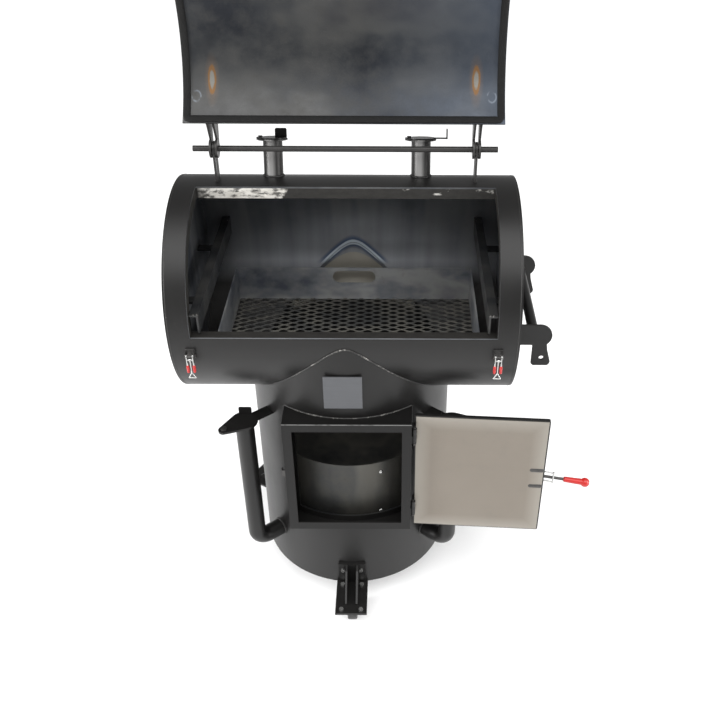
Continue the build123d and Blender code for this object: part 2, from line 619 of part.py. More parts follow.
def make_rails():
    rails, brackets = [], []
    for side in (-1, 1):
        x_out, x_in = side * RAIL_OUT, side * (RAIL_OUT - RAIL_DEPTH)
        x_web = x_in + side * RAIL_THICK
        ledge = block(x_out, x_in, -285, 288, RAIL_TOP - RAIL_THICK, RAIL_TOP)
        rails.append(ledge + block(x_web, x_in, -285, 288, RAIL_TOP - RAIL_TALL, RAIL_TOP))
        for y in (-150, 150):
            brackets.append(block(x_web, side * (BARREL_HALF - WALL), y - 15, y + 15, RAIL_TOP - 40, RAIL_TOP - 34))
    node("slide_rails", rails)
    node("rail_brackets", brackets)


SIDE_Y = 195.0


def make_side_handle():
    x0, z = BARREL_HALF, AXIS_Z
    plates = []
    for y in (-SIDE_Y, SIDE_Y):
        foot = [
            (52, -80), (92, -84), (95, -106), (106, -146), (105, -153), (99, -160), (58, -160), (52, -154),
        ]
        face = make_face(Polyline(*[(x0 + px, y - 3, z + pz) for px, pz in foot], close=True))
        plate = extrude(face, amount=6, dir=(0, 1, 0))
        plate += block(x0, x0 + 68, y - 3, y + 3, z - 90, z - 24)
        plate += rod_y(36, y - 3, y + 3, x0 + 69, z - 60)
        plate -= rod_y(7, y - 4, y + 4, x0 + 80, z - 134)
        plates.append(plate)
    node("side_handle_plates", plates)
    node("side_handle_bar", rod_y(15, -SIDE_Y + 3, SIDE_Y - 3, x0 + 54, AXIS_Z - 58))


def make_badge():
    plate = block(-62, 46, -309, -306, AXIS_Z - 232, AXIS_Z - 123)
    for x in (-34, 26):
        tab = block(x - 5, x + 5, -306, -290, AXIS_Z - 232, AXIS_Z - 226)
        plate += tab - rod_z(DRUM_R, 0, AXIS_Z)
    for z in (AXIS_Z - 132, AXIS_Z - 222):
        for x in (-28, 12):
            plate += rod_y(4, -306, -290, x, z) - rod_z(DRUM_R, 0, AXIS_Z)
    node("badge_plate", plate)


BOLT_X = 31.0
BOLT_Y = (-324.0, -424.0)


def hex_bolt(z, x, y, size=13.0, high=6.0):
    head = extrude(Pos(x, y, z) * RegularPolygon(size / 2 / cos(pi / 6), 6), high)
    return head


def make_brackets():
    brackets, bolts = [], []
    for place in CASTER_PLACE.values():
        plate = block(-50, 50, -438, -290, 0, 8) - rod_z(DRUM_R, -5, 20)
        flange = block(-43, 43, -311, -290, 8, 92) - rod_z(DRUM_R, -5, 200)
        bracket = plate + flange
        for x in (-17, 17):
            bracket += profile_x([(-311, 88), (-311, 8), (-406, 8), (-406, 14), (-332, 82)], x - 3, x + 3)
        brackets.append(turned(bracket, DRUM_AXIS, place))
        for x in (-BOLT_X, BOLT_X):
            for y in BOLT_Y:
                bolts.append(turned(hex_bolt(8, x, y), DRUM_AXIS, place))
        for x in (-29, 29):
            head = extrude(Plane(origin=(x, -311, 66), z_dir=(0, -1, 0)) * RegularPolygon(7, 6), 6)
            bolts.append(turned(head, DRUM_AXIS, place))
    node("caster_brackets", brackets)
    node("bracket_bolts", bolts)


def make_casters():
    cy = -CASTER_RADIUS
    tops = []
    for place, angle in CASTER_PLACE.items():
        top_plate = block(-42, 42, -433, -309, -4, 0)
        race = rod_z(24, -14, -4, 0, cy)
        mount = top_plate + race
        spin = Axis((0, cy, 0), (0, 0, 1))
        # fork drawn with its trail along +Y
        wy = cy + CASTER_TRAIL
        crown = rod_z(24, -20.5, -14.4, 0, cy) + block(-22, 22, cy - 10, wy + 12, -20.5, -17.5)
        fork = crown
        for s in (-1, 1):
            x0, x1 = (19, 22) if s > 0 else (-22, -19)
            leg = profile_x(
                [(cy - 18, -18), (wy + 14, -18), (wy + 12, WHEEL_Z), (wy + 6, WHEEL_Z - 9),
                 (wy - 6, WHEEL_Z - 9), (wy - 12, WHEEL_Z)], x0, x1)
            fork += leg
        axle = rod_x(5, -25, 25, wy, WHEEL_Z)
        fork += axle
        wheel = rod_x(WHEEL_R, -15, 15, wy, WHEEL_Z) - rod_x(5 + PIVOT_FIT, -20, 20, wy, WHEEL_Z)
        wheel = fillet(
            [e for e in wheel.edges().filter_by(GeomType.CIRCLE) if e.radius > 30], 4
        )
        turn = CASTER_TURN[place]
        tops.append(turned(mount, DRUM_AXIS, angle))
        for name, shape in ((f"caster_fork_{place}", fork), (f"caster_wheel_{place}", wheel)):
            node(name, turned(turned(shape, spin, turn), DRUM_AXIS, angle))
    node("caster_tops", tops)


make_barrel()
make_mouth_lip()
make_drum()
make_intake_pipes()
bolts = make_intake_dampers() + make_stacks()
node("damper_bolts", bolts)
make_rod()
make_lid()
make_latches()
make_door_frame()
make_door()
make_clamp()
make_tray()
make_basket()
make_rails()
make_side_handle()
make_badge()
make_brackets()
make_casters()
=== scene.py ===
import json
import math

import bpy
import numpy as np
from mathutils import Matrix, Vector


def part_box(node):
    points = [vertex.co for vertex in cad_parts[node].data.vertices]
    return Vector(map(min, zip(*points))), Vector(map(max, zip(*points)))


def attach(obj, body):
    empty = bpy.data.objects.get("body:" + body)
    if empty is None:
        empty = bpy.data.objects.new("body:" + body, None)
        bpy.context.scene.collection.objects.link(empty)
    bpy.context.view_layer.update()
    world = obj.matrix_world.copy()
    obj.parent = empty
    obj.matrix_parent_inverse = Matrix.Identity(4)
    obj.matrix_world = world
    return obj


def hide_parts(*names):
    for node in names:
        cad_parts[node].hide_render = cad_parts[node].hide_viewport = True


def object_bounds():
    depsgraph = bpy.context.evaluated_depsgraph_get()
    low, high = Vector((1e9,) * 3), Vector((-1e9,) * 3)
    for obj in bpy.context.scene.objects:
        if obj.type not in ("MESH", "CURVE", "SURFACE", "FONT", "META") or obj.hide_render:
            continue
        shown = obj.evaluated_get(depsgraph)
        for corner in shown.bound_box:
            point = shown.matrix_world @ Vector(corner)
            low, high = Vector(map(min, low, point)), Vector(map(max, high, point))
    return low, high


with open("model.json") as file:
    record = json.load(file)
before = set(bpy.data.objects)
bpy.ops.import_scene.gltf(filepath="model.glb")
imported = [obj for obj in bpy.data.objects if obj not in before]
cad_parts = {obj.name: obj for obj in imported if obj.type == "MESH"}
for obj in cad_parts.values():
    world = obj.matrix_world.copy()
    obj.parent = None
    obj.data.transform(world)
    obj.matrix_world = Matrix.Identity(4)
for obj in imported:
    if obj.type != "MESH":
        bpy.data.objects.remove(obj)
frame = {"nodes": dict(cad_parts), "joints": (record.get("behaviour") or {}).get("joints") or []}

# The looks of a drum-and-barrel smoker, built round its CAD model. Metres, +Z up, doors face -Y.

cad_low, cad_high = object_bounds()

# ---- sizes read from the frame ----------------------------------------------------------------
barrel_low, barrel_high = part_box("barrel")
drum_low, drum_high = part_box("drum")
BARREL_R = (barrel_high.y - barrel_low.y) / 2
AXIS_Z = (barrel_high.z + barrel_low.z) / 2
DRUM_R = drum_high.x
WALL = 0.006
CAP_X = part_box("end_caps")[1].x                  # outer face of the end cap
JOINT = {j["name"]: j for j in frame["joints"]}
ROD = Vector(JOINT["lid_hinge"]["pos_m"])
FRAME_LOW, FRAME_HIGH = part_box("door_frame")
DRUM_BORE = DRUM_R - WALL
SADDLE_PEAK = math.sqrt((BARREL_R - WALL) ** 2 - DRUM_BORE ** 2)
LID_TURN = math.radians(JOINT["lid_hinge"]["range_deg"][1])
DOOR_TURN = math.radians(JOINT["fire_door_hinge"]["range_deg"][1])
LID_INNER_R = BARREL_R + 0.006                   # the closed lid lies this far out, over the mouth's edge
LID_OUTER_R = LID_INNER_R + 0.0045
EAR_X = 0.355                                    # middle of each pair of lid ears, and of its rod strap
STACK_LEAN = math.radians(16.4)
STACK_WELD_R = 0.0276
STACK_OFF_PIVOT = 0.034                          # from a damper's pivot to its stack's middle, along X
INTAKE_TURN = math.radians(51.0)                 # from straight ahead to each intake's elbow
INTAKE_Z = 0.142
INTAKE_WELD_R = 0.0275
CLEAR = 0.0008                                   # a weld's middle stands this far off the metal


def lid_opened(points):
    """Points of the closed lid, turned back about the hinge rod to the open rest."""
    c, s = math.cos(LID_TURN), math.sin(LID_TURN)
    out = np.array(points, float)
    y, z = out[..., 1] - ROD.y, out[..., 2] - ROD.z
    out[..., 1] = ROD.y + y * c + z * s
    out[..., 2] = ROD.z - y * s + z * c
    return out


LID_CENTRE = lid_opened([[0.0, 0.0, AXIS_Z]])[0]


# ---- surfaces worked out on grids -------------------------------------------------------------
def rows_to_faces(rows, ring, closed):
    """Quads of a grid of rows, each a closed ring of points; closed joins the last row to the first."""
    r = np.arange(rows if closed else rows - 1)[:, None]
    k = np.arange(ring)[None, :]
    nxt = (r + 1) % rows
    a, b = r * ring + k, r * ring + (k + 1) % ring
    c, d = nxt * ring + (k + 1) % ring, nxt * ring + k
    return np.stack([a, b, c, d], -1).reshape(-1, 4)


def make_piece(name, points, faces, material, body, slot=None, smooth=True, replaced=()):
    """One mesh from its points and quads, riding on a body. Points past the CAD box are drawn back to it."""
    mesh = bpy.data.meshes.new(name)
    points = np.clip(np.asarray(points, float), cad_low, cad_high)
    faces = np.asarray(faces, int)
    mesh.vertices.add(len(points))
    mesh.vertices.foreach_set("co", points.ravel())
    mesh.loops.add(faces.size)
    mesh.loops.foreach_set("vertex_index", faces.ravel())
    mesh.polygons.add(len(faces))
    mesh.polygons.foreach_set("loop_start", np.arange(len(faces)) * 4)
    mesh.polygons.foreach_set("use_smooth", np.full(len(faces), smooth))
    mesh.update(calc_edges=True)
    mesh.validate()
    mesh.materials.append(material)
    piece = bpy.data.objects.new(name, mesh)
    bpy.context.scene.collection.objects.link(piece)
    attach(piece, body)
    if replaced:
        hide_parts(*replaced)
    return piece


def sweep(path, side, lift, profile, closed=False):
    """Profile (u, v) carried along a path: point = path + u side + v lift. Ends are closed to their middle."""
    path, side, lift, profile = (np.asarray(v, float) for v in (path, side, lift, profile))
    if profile.ndim == 2:
        profile = np.broadcast_to(profile, (len(path), *profile.shape))
    rings = path[:, None] + profile[..., :1] * side[:, None] + profile[..., 1:] * lift[:, None]
    if not closed:
        first, last = rings[:1].mean(1, keepdims=True), rings[-1:].mean(1, keepdims=True)
        ring = rings.shape[1]
        rings = np.concatenate([np.repeat(first, ring, 1), rings, np.repeat(last, ring, 1)])
    faces = rows_to_faces(len(rings), rings.shape[1], closed)
    return rings.reshape(-1, 3), faces


def joined(parts):
    """Several (points, faces) as one."""
    points, faces, count = [], [], 0
    for p, f in parts:
        points.append(p)
        faces.append(np.asarray(f) + count)
        count += len(p)
    return np.concatenate(points), np.concatenate(faces)


def unit(v):
    return v / np.linalg.norm(v, axis=-1, keepdims=True)


def circle(count):
    """Points of the unit circle: (cos a, sin a)."""
    a = np.linspace(0.0, 2.0 * math.pi, count, endpoint=False)
    return np.stack([np.cos(a), np.sin(a)], -1)


def resampled(path, step):
    """The path's points moved to even steps along it, and the distance of each."""
    path = np.asarray(path, float)
    reach = np.concatenate([[0.0], np.cumsum(np.linalg.norm(np.diff(path, axis=0), axis=1))])
    at = np.linspace(0.0, reach[-1], max(3, int(reach[-1] / step) + 1))
    return np.stack([np.interp(at, reach, path[:, i]) for i in range(3)], -1), at


def weld(path, out, size=0.0035, pitch=0.0055, seed=0):
    """Bead along a joint: a round section whose radius ripples once each pitch and wanders a little."""
    path, at = resampled(path, pitch / 5.0)
    out = np.asarray(out, float)
    if out.ndim == 1:
        out = np.broadcast_to(out, path.shape)
    else:
        out = out[np.linspace(0, len(out) - 1, len(path)).round().astype(int)]
    ahead = unit(np.gradient(path, axis=0))
    side = unit(np.cross(ahead, out))
    lift = unit(np.cross(side, ahead))
    rng = np.random.default_rng(seed)
    wanders = max(4, int(at[-1] / 0.03))
    drift = np.interp(at, np.linspace(0.0, at[-1], wanders), rng.normal(0.0, 1.0, wanders))
    scallop = np.abs(np.sin(math.pi * at / pitch)) ** 0.6
    radius = size * (0.80 + 0.22 * scallop + 0.06 * drift)
    profile = circle(10)[None] * radius[:, None, None]
    return sweep(path + 0.1 * size * drift[:, None] * side, side, lift, profile)


def turned_shape(start, along, radii, distances, count=20):
    """Surface of revolution: radius as a function of distance along a straight axis."""
    start, along = np.asarray(start, float), unit(np.asarray(along, float))
    helper = np.array([0.0, 1.0, 0.0]) if abs(along[1]) < 0.9 else np.array([1.0, 0.0, 0.0])
    side = unit(np.cross(along, helper))
    lift = np.cross(side, along)
    path = start + np.asarray(distances)[:, None] * along
    profile = circle(count)[None] * np.asarray(radii)[:, None, None]
    n = len(path)
    return sweep(path, np.repeat(side[None], n, 0), np.repeat(lift[None], n, 0), profile)


def dome(centre, out, radius, height):
    """Round-topped head: radius falls as a quarter ellipse over its height."""
    t = np.linspace(0.0, 1.0, 6)
    return turned_shape(centre, out, radius * np.sqrt(1.0 - (0.96 * t) ** 2), height * t)


# ---- material tools ---------------------------------------------------------------------------
class Finish:
    """One node material being put together, on Object coordinates."""

    def __init__(self, name):
        self.mat = bpy.data.materials.new(name)
        self.mat.use_nodes = True
        self.tree = self.mat.node_tree
        self.tree.nodes.clear()
        self.out = self.add("ShaderNodeOutputMaterial")
        self.shader = self.add("ShaderNodeBsdfPrincipled")
        self.tree.links.new(self.shader.outputs[0], self.out.inputs["Surface"])
        self.place = self.add("ShaderNodeTexCoord").outputs["Object"]
        split = self.add("ShaderNodeSeparateXYZ")
        self.link(self.place, split.inputs[0])
        self.x, self.y, self.z = split.outputs

    def add(self, kind, **values):
        node = self.tree.nodes.new(kind)
        for key, value in values.items():
            setattr(node, key, value)
        return node

    def link(self, a, b):
        if hasattr(a, "links"):
            self.tree.links.new(a, b)
        else:
            b.default_value = a

    def math(self, op, a, b=0.0, c=0.0):
        node = self.add("ShaderNodeMath", operation=op)
        for socket, value in zip(node.inputs, (a, b, c)):
            self.link(value, socket)
        return node.outputs[0]

    def length(self, a, b, a0=0.0, b0=0.0):
        """Distance from (a0, b0) in the plane of two coordinates."""
        da, db = self.math("SUBTRACT", a, a0), self.math("SUBTRACT", b, b0)
        return self.math("SQRT", self.math("ADD", self.math("MULTIPLY", da, da), self.math("MULTIPLY", db, db)))

    def stretched(self, sx, sy, sz):
        node = self.add("ShaderNodeMapping")
        self.link(self.place, node.inputs["Vector"])
        node.inputs["Scale"].default_value = (sx, sy, sz)
        return node.outputs[0]

    def noise(self, scale, detail=3.0, rough=0.5, where=None):
        node = self.add("ShaderNodeTexNoise")
        self.link(where or self.place, node.inputs["Vector"])
        node.inputs["Scale"].default_value = scale
        node.inputs["Detail"].default_value = detail
        node.inputs["Roughness"].default_value = rough
        return node.outputs["Fac"]

    def cells(self, scale):
        node = self.add("ShaderNodeTexVoronoi")
        self.link(self.place, node.inputs["Vector"])
        node.inputs["Scale"].default_value = scale
        return node.outputs["Distance"]

    def spread(self, value, low, high, new_low=0.0, new_high=1.0):
        node = self.add("ShaderNodeMapRange")
        for socket, v in zip(node.inputs, (value, low, high, new_low, new_high)):
            self.link(v, socket)
        return node.outputs[0]

    def ramp(self, value, stops):
        node = self.add("ShaderNodeValToRGB")
        node.color_ramp.interpolation = "EASE"
        elements = node.color_ramp.elements
        while len(elements) < len(stops):
            elements.new(0.5)
        for element, (at, colour) in zip(elements, stops):
            element.position = at
            element.color = (*colour, 1.0)
        self.link(value, node.inputs[0])
        return node.outputs[0]

    def blend(self, share, a, b):
        """Colour mix, from a at share 0 to b at share 1."""
        node = self.add("ShaderNodeMix", data_type="RGBA")
        for socket, value in ((node.inputs[0], share), (node.inputs[6], a), (node.inputs[7], b)):
            self.link((*value, 1.0) if isinstance(value, tuple) else value, socket)
        return node.outputs[2]

    def mix(self, share, a, b):
        """Plain number mix."""
        node = self.add("ShaderNodeMix", data_type="FLOAT")
        for socket, value in zip(node.inputs[:1] + node.inputs[2:4], (share, a, b)):
            self.link(value, socket)
        return node.outputs[0]

    def bump(self, height, strength, distance):
        node = self.add("ShaderNodeBump")
        node.inputs["Strength"].default_value = strength
        node.inputs["Distance"].default_value = distance
        self.link(height, node.inputs["Height"])
        return node.outputs[0]

    def set(self, **values):
        names = {"colour": "Base Color", "rough": "Roughness", "metal": "Metallic", "normal": "Normal",
                 "coat": "Coat Weight", "coat_rough": "Coat Roughness", "specular": "Specular IOR Level"}
        for key, value in values.items():
            self.link(value, self.shader.inputs[names[key]])
        return self.mat


# ---- finishes ---------------------------------------------------------------------------------
def coat_layer(f, tone=1.0):
    """Satin high-heat coating: colour, roughness and the fine peel of its surface."""
    cloud = f.noise(7.0, 4.0, 0.6)
    fine = f.noise(420.0, 3.0, 0.6)
    scuff = f.noise(38.0, 6.0, 0.7, f.stretched(1.0, 1.0, 0.35))
    a, b = 0.0052 * tone, 0.0088 * tone
    colour = f.blend(cloud, (a, a * 0.95, a * 0.92), (b, b * 0.95, b * 0.92))
    dust = f.spread(scuff, 0.62, 0.80)
    colour = f.blend(f.math("MULTIPLY", dust, 0.16), colour, (0.036, 0.033, 0.031))
    rough = f.math("ADD", f.spread(cloud, 0.3, 0.7, 0.33, 0.40), f.math("MULTIPLY", fine, 0.06))
    rough = f.math("ADD", rough, f.math("MULTIPLY", dust, 0.12))
    return colour, rough, fine


def steel_layer(f, light=1.0, streaks=(9.0, 1.4, 1.4), warm=0.0):
    """Bare mill-finish steel: bluish scale in long soft streaks, with mottling and fine grain."""
    bands = f.noise(1.0, 3.0, 0.55, f.stretched(*streaks))
    mottle = f.noise(22.0, 6.0, 0.68)
    speck = f.noise(160.0, 4.0, 0.6)

    def shade(r, g, b):
        return (r * light * (1 + 0.3 * warm), g * light * (1 + 0.1 * warm), b * light * (1 - 0.35 * warm))

    colour = f.ramp(bands, [
        (0.30, shade(0.060, 0.068, 0.088)), (0.44, shade(0.115, 0.124, 0.142)),
        (0.58, shade(0.200, 0.206, 0.216)), (0.74, shade(0.130, 0.134, 0.152)),
    ])
    worn = f.spread(mottle, 0.42, 0.66)
    colour = f.blend(f.math("MULTIPLY", worn, 0.30), colour, shade(0.23, 0.23, 0.225))
    stain = f.spread(f.noise(11.0, 5.0, 0.7), 0.60, 0.76)
    colour = f.blend(f.math("MULTIPLY", stain, 0.45), colour, (0.040, 0.037, 0.035))
    rough = f.math("ADD", f.spread(mottle, 0.3, 0.7, 0.36, 0.52), f.math("MULTIPLY", speck, 0.08))
    return colour, rough, speck


def black_coat(name="black_coat", tone=1.0):
    f = Finish(name)
    colour, rough, fine = coat_layer(f, tone)
    return f.set(colour=colour, rough=rough, metal=0.0, normal=f.bump(fine, 0.12, 0.0006), specular=0.30)


def burnished_coat(name="burnished_coat", middle=None):
    """Thin coat over bright steel. With a middle (an x), a painted highlight runs down the tube's front as a
    lighter stripe.
    """
    f = Finish(name)
    cloud = f.noise(26.0, 5.0, 0.6, f.stretched(1.0, 1.0, 0.3))
    fine = f.noise(500.0, 3.0, 0.6)
    colour = f.blend(cloud, (0.020, 0.0195, 0.019), (0.050, 0.0485, 0.047))
    if middle is not None:
        # painted highlight: the colour lightens towards the tube's middle, a stripe down its front
        off = f.math("ABSOLUTE", f.math("SUBTRACT", f.x, middle))
        colour = f.blend(f.spread(off, 0.004, 0.015, 0.85, 0.0), colour, (0.36, 0.355, 0.35))
    rough = f.math("ADD", f.spread(cloud, 0.3, 0.7, 0.34, 0.46), f.math("MULTIPLY", fine, 0.06))
    return f.set(colour=colour, rough=rough, metal=0.35, normal=f.bump(fine, 0.10, 0.0004), specular=0.3)


def raw_steel(name="raw_steel", light=1.0, streaks=(9.0, 1.4, 1.4), metal=0.8, warm=0.0):
    f = Finish(name)
    colour, rough, speck = steel_layer(f, light, streaks, warm)
    return f.set(colour=colour, rough=rough, metal=metal, normal=f.bump(speck, 0.10, 0.0005))


def coated_pipe(name, inside, tints_and_painted_light=None, light=1.0, streaks=(9.0, 1.4, 1.4), metal=0.7, warm=0.0, tone=1.0):
    """Coated outside, bare inside. inside(f) gives 1 on the bare side; the function after it, given (f, colour),
    may add weld colours, marks and painted light.
    """
    f = Finish(name)
    out_colour, out_rough, fine = coat_layer(f, tone)
    in_colour, in_rough, speck = steel_layer(f, light, streaks, warm)
    if tints_and_painted_light:
        in_colour = tints_and_painted_light(f, in_colour)
    bare = inside(f)
    return f.set(
        colour=f.blend(bare, out_colour, in_colour), rough=f.mix(bare, out_rough, in_rough),
        metal=f.math("MULTIPLY", bare, metal), specular=0.30,
        normal=f.bump(f.mix(bare, fine, speck), 0.12, 0.0006),
    )


def saddle_tint_and_painted_light(f, colour):
    """Painted light: brighter steel low and central on the back wall, where light falls in through the mouth. Heat
    colours beside the line where the drum meets the barrel.
    """
    bands = f.noise(1.0, 4.0, 0.6, f.stretched(16.0, 0.6, 0.6))
    # painted light: a pool of brighter steel low down and towards the middle
    low_down = f.spread(f.z, AXIS_Z + 0.22, AXIS_Z - 0.06)
    painted_light_pool = f.math("MULTIPLY", low_down, f.spread(f.math("ABSOLUTE", f.x), 0.50, 0.12, 0.25, 1.0))
    painted_light_pool = f.math("MULTIPLY", painted_light_pool, f.spread(bands, 0.30, 0.70, 0.60, 1.0))
    colour = f.blend(f.math("MULTIPLY", painted_light_pool, 0.85), colour, (0.47, 0.485, 0.515))
    # darker towards the bottom
    darker_low = f.spread(f.z, AXIS_Z - 0.09, AXIS_Z - 0.16)
    colour = f.blend(f.math("MULTIPLY", darker_low, 0.93), colour, (0.018, 0.016, 0.014))
    roof = f.spread(f.z, AXIS_Z + 0.14, AXIS_Z + 0.25)
    colour = f.blend(f.math("MULTIPLY", roof, 0.6), colour, (0.035, 0.035, 0.034))
    # |drop| on that line is the length of (x, SADDLE_PEAK), so the difference is a distance from it
    drop = f.math("SUBTRACT", AXIS_Z, f.z)
    off = f.math("SUBTRACT", f.length(f.x, SADDLE_PEAK), drop)
    wobble = f.math("MULTIPLY", f.math("SUBTRACT", f.noise(24.0, 3.0), 0.5), 0.003)
    off = f.math("MULTIPLY", f.math("ADD", off, wobble), 0.75)
    under = f.math("MULTIPLY", f.spread(f.z, AXIS_Z - 0.105, AXIS_Z - 0.085), f.math("GREATER_THAN", f.y, 0.1))

    def band(middle, inner, outer, share):
        """1 times share within inner of the middle, none beyond outer, and only under the mouth."""
        away = f.math("ABSOLUTE", f.math("SUBTRACT", off, middle))
        return f.math("MULTIPLY", f.spread(away, inner, outer, share, 0.0), under)

    blue = band(0.002, 0.009, 0.019, 0.85)
    colour = f.blend(blue, colour, (0.085, 0.125, 0.215))
    pale = band(0.001, 0.0052, 0.0075, 1.0)
    colour = f.blend(pale, colour, (0.72, 0.80, 0.86))
    seam = band(0.0, 0.0006, 0.0016, 1.0)
    return f.blend(f.math("MULTIPLY", seam, 0.6), colour, (0.13, 0.15, 0.18))


def drum_painted_light(f, colour):
    """Painted light: lighter steel high inside the drum, at the back, where light comes in through the mouth."""
    high = f.math("MULTIPLY", f.spread(f.z, AXIS_Z - 0.25, AXIS_Z - 0.225), f.math("GREATER_THAN", f.y, 0.22))
    return f.blend(f.math("MULTIPLY", high, 0.85), colour, (0.55, 0.52, 0.45))


def lid_marks(f, colour):
    """Golden rings where the hinge ears are welded outside, round scuffs and a cooler far end."""
    colour = f.blend(f.spread(f.x, 0.05, 0.38, 0.0, 0.35), colour, (0.065, 0.085, 0.120))
    near = f.math("ABSOLUTE", f.math("SUBTRACT", f.math("ABSOLUTE", f.x), 0.3475))
    height = f.math("SUBTRACT", f.z, AXIS_Z + 0.571)
    half_wide, half_tall = 0.0100, 0.031
    reach = f.length(f.math("MULTIPLY", near, 1.0 / half_wide), f.math("MULTIPLY", height, 1.0 / half_tall))
    wobble = f.math("MULTIPLY", f.math("SUBTRACT", f.noise(60.0, 4.0), 0.5), 0.35)
    reach = f.math("ADD", reach, wobble)
    haze = f.spread(reach, 2.1, 1.1)
    colour = f.blend(f.math("MULTIPLY", haze, 0.35), colour, (0.12, 0.085, 0.060))
    gold = f.spread(reach, 1.18, 0.98)
    colour = f.blend(f.math("MULTIPLY", gold, 0.85), colour, (0.150, 0.078, 0.030))
    colour = f.blend(f.spread(reach, 0.74, 0.50), colour, (0.15, 0.145, 0.13))
    ring = f.length(f.math("SUBTRACT", f.math("ABSOLUTE", f.x), 0.389), f.math("SUBTRACT", f.z, AXIS_Z + 0.533))
    scuff = f.spread(f.math("ABSOLUTE", f.math("SUBTRACT", ring, 0.0115)), 0.0010, 0.0028, 1.0, 0.0)
    scuff = f.math("MULTIPLY", scuff, f.spread(f.noise(48.0, 4.0), 0.44, 0.56))
    return f.blend(f.math("MULTIPLY", scuff, 0.35), colour, (0.20, 0.225, 0.26))


def inside_barrel(f):
    bore = f.math("LESS_THAN", f.length(f.y, f.z, 0.0, AXIS_Z), BARREL_R - 0.0012)
    cut = f.math("LESS_THAN", f.length(f.x, f.y), DRUM_BORE + 0.0008)
    return f.math("MAXIMUM", bore, f.math("MULTIPLY", cut, f.math("LESS_THAN", f.z, AXIS_Z)))


def inside_drum(f):
    return f.math("LESS_THAN", f.length(f.x, f.y), DRUM_R - 0.0012)


def inside_caps(f):
    return f.math("LESS_THAN", f.math("ABSOLUTE", f.x), CAP_X - 0.0052)


def inside_lid(f):
    return f.math("LESS_THAN", f.length(f.y, f.z, LID_CENTRE[1], LID_CENTRE[2]), LID_INNER_R + 0.0012)


def lip_steel():
    """Turned-in edge of the mouth: ground bright on the left of its top, dark and spotted elsewhere."""
    f = Finish("mouth_lip_steel")
    fine = f.noise(70.0, 5.0, 0.65, f.stretched(0.5, 1.0, 1.0))
    patch = f.noise(11.0, 4.0, 0.60, f.stretched(1.0, 1.0, 2.2))
    slant = f.math("ADD", f.x, f.math("MULTIPLY", f.math("SUBTRACT", patch, 0.5), 0.30))
    left = f.math("MULTIPLY", f.spread(slant, -0.165, -0.145, 1.0, 0.0), f.spread(f.x, -0.408, -0.385))
    left = f.math("MULTIPLY", left, f.spread(fine, 0.42, 0.54, 0.12, 1.0))
    spots = f.math("MULTIPLY", f.spread(patch, 0.60, 0.68), f.spread(f.x, 0.10, 0.14))
    share = f.math("MAXIMUM", left, f.math("MULTIPLY", spots, 0.7))
    share = f.math("MULTIPLY", share, f.math("GREATER_THAN", f.z, AXIS_Z + 0.24))
    share = f.math("MULTIPLY", share, f.math("LESS_THAN", f.math("ABSOLUTE", f.x), 0.405))
    dark = f.blend(fine, (0.010, 0.0095, 0.009), (0.038, 0.036, 0.033))
    bright = f.blend(f.spread(patch, 0.35, 0.65), (0.42, 0.40, 0.36), (0.80, 0.78, 0.73))
    front = f.math("MULTIPLY", f.spread(f.y, -0.3010, -0.3030, 0.0, 0.6), f.math("LESS_THAN", f.z, AXIS_Z + 0.002))
    colour = f.blend(share, dark, bright)
    colour = f.blend(front, colour, (0.17, 0.155, 0.135))
    return f.set(colour=colour, rough=f.mix(share, 0.52, 0.40), metal=f.mix(share, 0.3, 0.6),
                 normal=f.bump(fine, 0.22, 0.0008), specular=0.3)


def framed_coat():
    """The door frame's coat, with a painted highlight along the front edge of its top."""
    f = Finish("framed_coat")
    # painted shade: the frame's coat is made darker (tone 0.75) than the same coat elsewhere
    colour, rough, fine = coat_layer(f, 0.75)
    # painted highlight: a thin light line along the top's front edge
    front = f.spread(f.y, FRAME_LOW.y + 0.0022, FRAME_LOW.y + 0.0010)
    edge = f.math("MULTIPLY", front, f.spread(f.z, FRAME_HIGH.z - 0.0024, FRAME_HIGH.z - 0.0012))
    edge = f.math("MULTIPLY", edge, f.spread(f.noise(60.0, 3.0), 0.35, 0.5, 0.5, 1.0))
    colour = f.blend(edge, colour, (0.15, 0.15, 0.147))
    return f.set(colour=colour, rough=rough, metal=0.0, normal=f.bump(fine, 0.12, 0.0006), specular=0.22)


def stainless_sheet():
    """Warm grey sheet with a fine grain, soft clouds and a few rubbed marks, lighter along its edges."""
    f = Finish("door_liner_stainless")
    grain = f.noise(1.0, 3.0, 0.6, f.stretched(14.0, 20.0, 700.0))
    cloud = f.noise(5.0, 4.0, 0.6)
    smudge = f.noise(17.0, 6.0, 0.7)
    colour = f.blend(cloud, (0.165, 0.143, 0.118), (0.225, 0.200, 0.170))
    colour = f.blend(f.math("MULTIPLY", f.spread(smudge, 0.55, 0.72), 0.25), colour, (0.16, 0.145, 0.125))
    low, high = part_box("door_liner")
    edge = f.math("MINIMUM",
                  f.math("MINIMUM", f.math("SUBTRACT", f.x, low.x), f.math("SUBTRACT", high.x, f.x)),
                  f.math("MINIMUM", f.math("SUBTRACT", f.z, low.z), f.math("SUBTRACT", high.z, f.z)))
    colour = f.blend(f.spread(edge, 0.0, 0.045, 0.45, 0.0), colour, (0.36, 0.345, 0.31))
    rough = f.math("ADD", f.spread(cloud, 0.3, 0.7, 0.38, 0.48), f.math("MULTIPLY", grain, 0.10))
    return f.set(colour=colour, rough=rough, metal=0.6, normal=f.bump(grain, 0.06, 0.0003))


def bright_plate():
    f = Finish("bright_plated")
    cloud = f.noise(60.0, 4.0, 0.6)
    colour = f.blend(cloud, (0.30, 0.30, 0.29), (0.56, 0.56, 0.55))
    return f.set(colour=colour, rough=f.spread(cloud, 0.3, 0.7, 0.18, 0.32), metal=0.9,
                 normal=f.bump(f.noise(300.0), 0.05, 0.0003))


